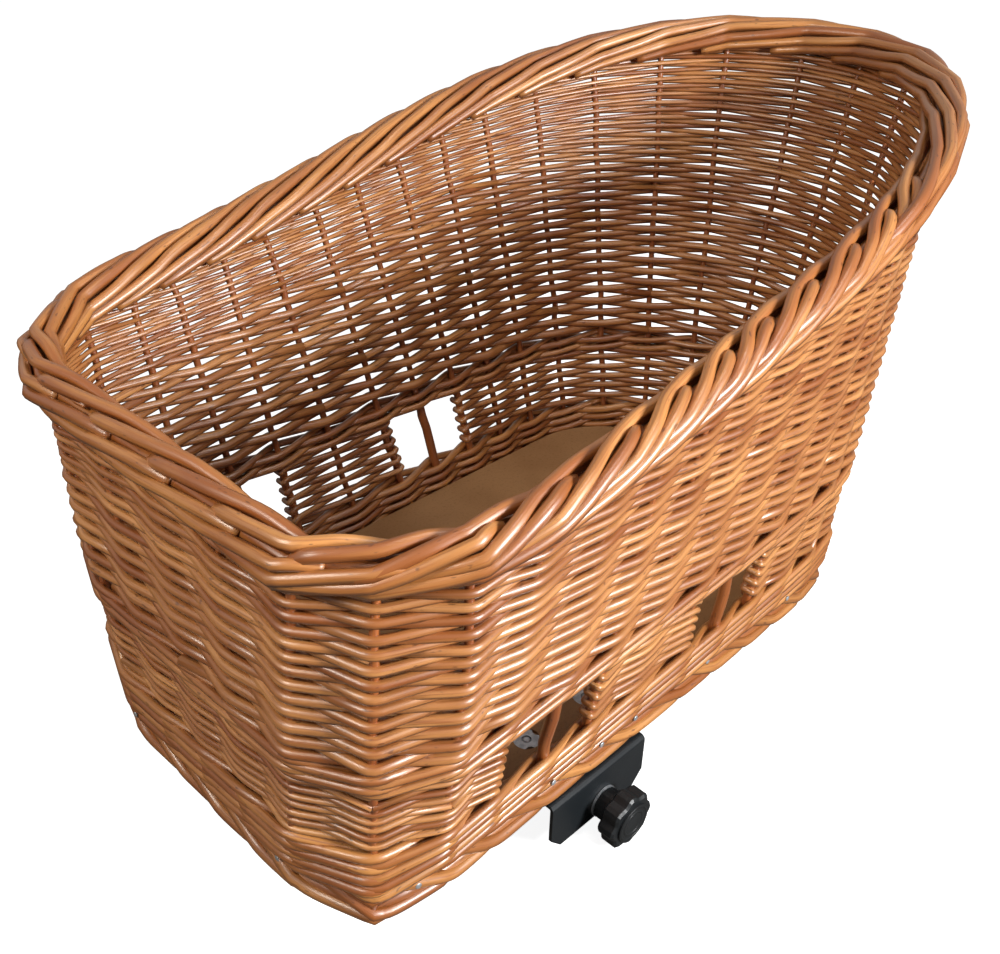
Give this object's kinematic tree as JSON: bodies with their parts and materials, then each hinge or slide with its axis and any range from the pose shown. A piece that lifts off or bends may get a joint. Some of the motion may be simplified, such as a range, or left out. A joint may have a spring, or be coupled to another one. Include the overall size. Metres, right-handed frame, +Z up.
{
  "type": "dog bicycle basket",
  "caption": "Wicker dog basket with a low flat front, a high round back, side windows and a clamp bracket with star knobs for a bicycle carrier.",
  "frame": {"origin": "middle of the bracket plate's underside, where a carrier's rails lie", "axes": "+X from the flat front to the round back, +Y to the left side, +Z up"},
  "size_m": [0.625, 0.387, 0.4269],
  "materials": {
    "willow_weave": "varnished",
    "willow_border": "varnished",
    "willow_stakes": "varnished",
    "board": "satin",
    "bracket_paint": "satin",
    "knob_plastic": "satin",
    "zinc": "satin"
  },
  "bodies": {
    "basket": {"foot_border": "willow_border", "bottom_wale": "willow_weave", "window_wale": "willow_weave", "upper_siding": "willow_weave", "rim_border": "willow_border", "middle_panel_right": "willow_weave", "middle_panel_left": "willow_weave", "rear_window_band": "willow_weave", "front_window_band": "willow_weave", "front_window_front_edge_stake_right": "willow_stakes", "front_window_middle_stake_right": "willow_stakes", "front_window_rear_edge_stake_right": "willow_stakes", "rear_window_front_edge_stake_right": "willow_stakes", "rear_window_middle_stake_right": "willow_stakes", "rear_window_rear_edge_stake_right": "willow_stakes", "front_window_front_edge_stake_left": "willow_stakes", "front_window_middle_stake_left": "willow_stakes", "front_window_rear_edge_stake_left": "willow_stakes", "rear_window_front_edge_stake_left": "willow_stakes", "rear_window_middle_stake_left": "willow_stakes", "rear_window_rear_edge_stake_left": "willow_stakes", "edge_nail_right_1": "zinc", "edge_nail_left_1": "zinc", "edge_nail_right_2": "zinc", "edge_nail_left_2": "zinc", "edge_nail_right_3": "zinc", "edge_nail_left_3": "zinc", "edge_nail_right_4": "zinc", "edge_nail_left_4": "zinc", "edge_nail_right_5": "zinc", "edge_nail_left_5": "zinc", "edge_nail_right_6": "zinc", "edge_nail_left_6": "zinc", "edge_nail_right_7": "zinc", "edge_nail_left_7": "zinc", "edge_nail_right_8": "zinc", "edge_nail_left_8": "zinc", "floor_board": "board", "rack_bracket": "bracket_paint", "packing_block_right": "board", "packing_block_left": "board", "bracket_screw_front_right": "zinc", "tee_nut_front_right": "zinc", "bracket_screw_front_left": "zinc", "tee_nut_front_left": "zinc", "bracket_screw_rear_right": "zinc", "tee_nut_rear_right": "zinc", "bracket_screw_rear_left": "zinc", "tee_nut_rear_left": "zinc"},
    "knob_right": {"star_knob_right": "knob_plastic", "clamp_stud_right": "zinc", "stud_washer_right": "zinc"},
    "knob_left": {"star_knob_left": "knob_plastic", "clamp_stud_left": "zinc", "stud_washer_left": "zinc"},
    "jaw_right": {"hook_jaw_right": "bracket_paint"},
    "jaw_left": {"hook_jaw_left": "bracket_paint"}
  },
  "joints": [
    {"name": "knob_turn_right", "type": "hinge", "parent": "basket", "child": "knob_right", "pos_m": [0.004, 0, -0.027], "axis": [0, 1, 0], "range_deg": [-3600, 5040]},
    {"name": "knob_turn_left", "type": "hinge", "parent": "basket", "child": "knob_left", "pos_m": [0.004, 0, -0.027], "axis": [0, -1, 0], "range_deg": [-3600, 5040]},
    {"name": "jaw_slide_right", "type": "slide", "parent": "basket", "child": "jaw_right", "axis": [0, -1, 0], "range_m": [-0.0125, 0.0175]},
    {"name": "jaw_slide_left", "type": "slide", "parent": "basket", "child": "jaw_left", "axis": [0, 1, 0], "range_m": [-0.0125, 0.0175]}
  ],
  "couplings": [
    {"joint": "knob_turn_right", "follows": "jaw_slide_right", "rad_per_m": 5026.5},
    {"joint": "knob_turn_left", "follows": "jaw_slide_left", "rad_per_m": 5026.5}
  ]
}
